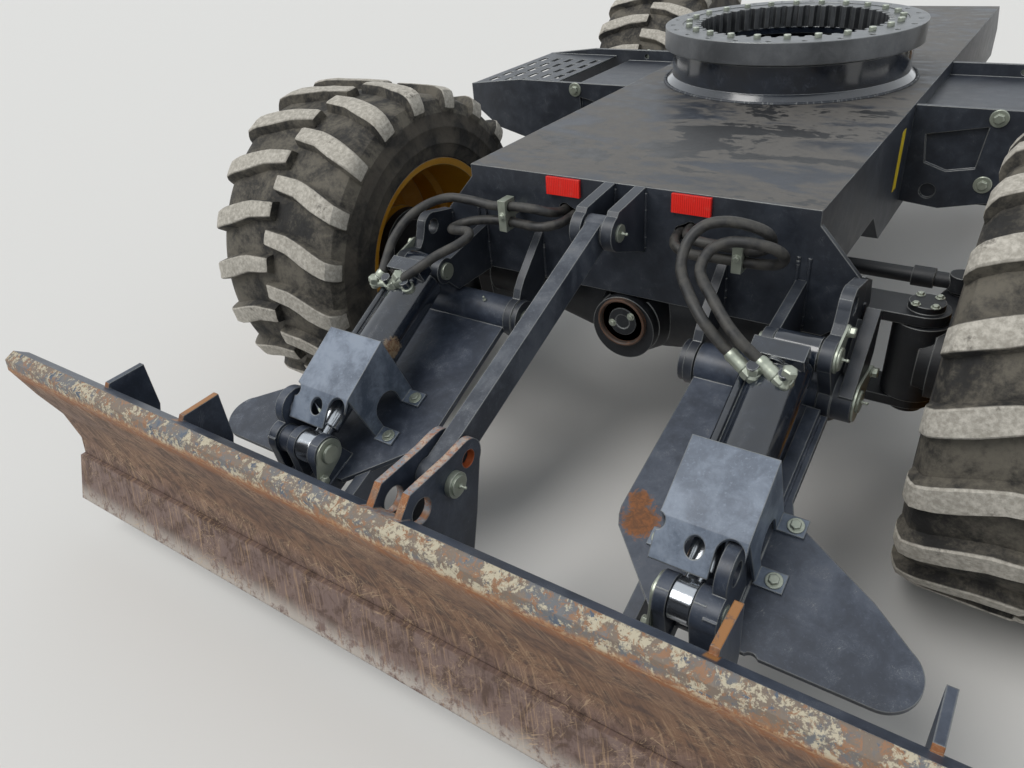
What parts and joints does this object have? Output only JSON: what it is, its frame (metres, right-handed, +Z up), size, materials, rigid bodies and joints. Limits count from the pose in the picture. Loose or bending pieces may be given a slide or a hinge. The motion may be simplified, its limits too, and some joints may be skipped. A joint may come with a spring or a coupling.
{
  "type": "wheeled excavator undercarriage with dozer blade",
  "caption": "Undercarriage of a wheeled excavator: box frame on axles with lugged tyres, slewing ring on top, dozer blade on a parallel linkage with guarded cylinders.",
  "frame": {"origin": "on the ground under the middle of the undercarriage's box", "axes": "+X to the right seen from the blade end, -Y towards the blade, +Y along the machine, +Z up along the slewing axis"},
  "size_m": [2.48, 3.9406, 1.0548],
  "materials": {
    "frame": "charcoal paint, dusty",
    "linkage": "blue-grey paint with scuffs",
    "guard": "worn blue-grey paint",
    "blade": "rusty worn paint",
    "edge": "rusty steel",
    "axle": "black cast iron",
    "rim": "ochre yellow paint",
    "tyre": "dusty black rubber",
    "cylinder": "gloss black paint",
    "bright": "ground chrome",
    "zinc": "zinc plated",
    "hose": "black rubber",
    "race": "machined steel, greased",
    "reflector": "red reflector"
  },
  "bodies": {
    "chassis": {"chassis_frame": "frame", "front_ears": "frame", "slew_pedestal": "cylinder", "slew_ring_fixed": "race", "swivel_joint": "axle", "front_axle": "axle", "rear_axle": "axle", "steering_cylinder": "cylinder", "travel_gearbox": "axle", "prop_shaft": "axle", "side_step_left": "frame", "side_step_right": "frame", "reflectors": "reflector", "hoses_left": "hose", "hoses_right": "hose", "hose_clips": "zinc", "pivot_pins": "zinc"},
    "arm_left": {"arm_left": "linkage", "guard_left": "guard", "arm_pins_left": "zinc"},
    "arm_right": {"arm_right": "linkage", "guard_right": "guard", "arm_pins_right": "zinc"},
    "blade": {"blade": "blade", "cutting_edge": "edge", "blade_pins": "zinc"},
    "top_link": {"top_link": "linkage"},
    "barrel_left": {"barrel_left": "cylinder"},
    "barrel_right": {"barrel_right": "cylinder"},
    "rod_left": {"rod_left": "bright"},
    "rod_right": {"rod_right": "bright"},
    "knuckle_left": {"knuckle_left": "axle"},
    "knuckle_right": {"knuckle_right": "axle"},
    "steering_rod": {"steering_rod": "bright"},
    "tie_rod_left": {"tie_rod_left": "axle"},
    "tie_rod_right": {"tie_rod_right": "axle"},
    "slew_race": {"slew_ring_turning": "race"},
    "wheel_front_left": {"rim_front_left": "rim", "tyre_front_left": "tyre"},
    "wheel_front_right": {"rim_front_right": "rim", "tyre_front_right": "tyre"},
    "wheel_rear_left": {"rim_rear_left": "rim", "tyre_rear_left": "tyre"},
    "wheel_rear_right": {"rim_rear_right": "rim", "tyre_rear_right": "tyre"}
  },
  "joints": [
    {"name": "blade_lift", "type": "hinge", "parent": "chassis", "child": "arm_left", "pos_m": [-0.47, -1.13963, 0.54], "axis": [-1, 0, 0], "range_deg": [-10, 30]},
    {"name": "arm_right_lift", "type": "hinge", "parent": "chassis", "child": "arm_right", "pos_m": [0.47, -1.13963, 0.54], "axis": [-1, 0, 0], "range_deg": [-10.5, 30.5]},
    {"name": "blade_level", "type": "hinge", "parent": "arm_left", "child": "blade", "pos_m": [0, -1.78436, 0.28863], "axis": [-1, 0, 0], "range_deg": [-30.5, 10.5]},
    {"name": "top_link_swing", "type": "hinge", "parent": "chassis", "child": "top_link", "pos_m": [0, -1.13963, 0.821], "axis": [-1, 0, 0], "range_deg": [-10.5, 30.5]},
    {"name": "barrel_left_swing", "type": "hinge", "parent": "chassis", "child": "barrel_left", "pos_m": [-0.47, -1.20463, 0.667], "axis": [-1, 0, 0], "range_deg": [-10.96, 31.84]},
    {"name": "barrel_right_swing", "type": "hinge", "parent": "chassis", "child": "barrel_right", "pos_m": [0.47, -1.20463, 0.667], "axis": [-1, 0, 0], "range_deg": [-10.96, 31.84]},
    {"name": "rod_left_stroke", "type": "slide", "parent": "barrel_left", "child": "rod_left", "axis": [0, -0.8837, -0.4681], "range_m": [-0.0729, 0.025]},
    {"name": "rod_right_stroke", "type": "slide", "parent": "barrel_right", "child": "rod_right", "axis": [0, -0.8837, -0.4681], "range_m": [-0.0729, 0.025]},
    {"name": "steer_left", "type": "hinge", "parent": "chassis", "child": "knuckle_left", "pos_m": [-0.66, -0.83964, 0.51], "axis": [0, 0, 1], "range_deg": [-18, 18]},
    {"name": "steer_right", "type": "hinge", "parent": "chassis", "child": "knuckle_right", "pos_m": [0.66, -0.83964, 0.51], "axis": [0, 0, 1], "range_deg": [-18.5, 18.5]},
    {"name": "steering_rod_slide", "type": "slide", "parent": "chassis", "child": "steering_rod", "axis": [1, 0, 0], "range_m": [-0.071, 0.071]},
    {"name": "tie_rod_left_swing", "type": "hinge", "parent": "knuckle_left", "child": "tie_rod_left", "pos_m": [-0.703, -0.61964, 0.603], "axis": [0, 0, 1], "range_deg": [-18, 18]},
    {"name": "tie_rod_right_swing", "type": "hinge", "parent": "knuckle_right", "child": "tie_rod_right", "pos_m": [0.703, -0.61964, 0.603], "axis": [0, 0, 1], "range_deg": [-18, 18]},
    {"name": "wheel_front_left", "type": "hinge", "parent": "knuckle_left", "child": "wheel_front_left", "pos_m": [-0.98, -0.83964, 0.51], "axis": [1, 0, 0], "continuous": true},
    {"name": "wheel_front_right", "type": "hinge", "parent": "knuckle_right", "child": "wheel_front_right", "pos_m": [0.98, -0.83964, 0.51], "axis": [1, 0, 0], "continuous": true},
    {"name": "wheel_rear_left", "type": "hinge", "parent": "chassis", "child": "wheel_rear_left", "pos_m": [-0.98, 1.46036, 0.51], "axis": [1, 0, 0], "continuous": true},
    {"name": "wheel_rear_right", "type": "hinge", "parent": "chassis", "child": "wheel_rear_right", "pos_m": [0.98, 1.46036, 0.51], "axis": [1, 0, 0], "continuous": true},
    {"name": "slew", "type": "hinge", "parent": "chassis", "child": "slew_race", "pos_m": [0, 0.16037, 0.985], "axis": [0, 0, 1], "continuous": true}
  ],
  "couplings": [
    {"joint": "arm_right_lift", "follows": "blade_lift", "ratio": 1},
    {"joint": "blade_level", "follows": "blade_lift", "ratio": -1},
    {"joint": "top_link_swing", "follows": "blade_lift", "ratio": 1},
    {"joint": "barrel_left_swing", "follows": "blade_lift", "ratio": 1.0439},
    {"joint": "rod_left_stroke", "follows": "blade_lift", "m_per_rad": -0.13736},
    {"joint": "barrel_right_swing", "follows": "blade_lift", "ratio": 1.0439},
    {"joint": "rod_right_stroke", "follows": "blade_lift", "m_per_rad": -0.13736},
    {"joint": "steer_right", "follows": "steer_left", "ratio": 1},
    {"joint": "steering_rod_slide", "follows": "steer_left", "m_per_rad": -0.2195},
    {"joint": "tie_rod_left_swing", "follows": "steer_left", "ratio": -0.86},
    {"joint": "tie_rod_right_swing", "follows": "steer_left", "ratio": -0.86}
  ]
}
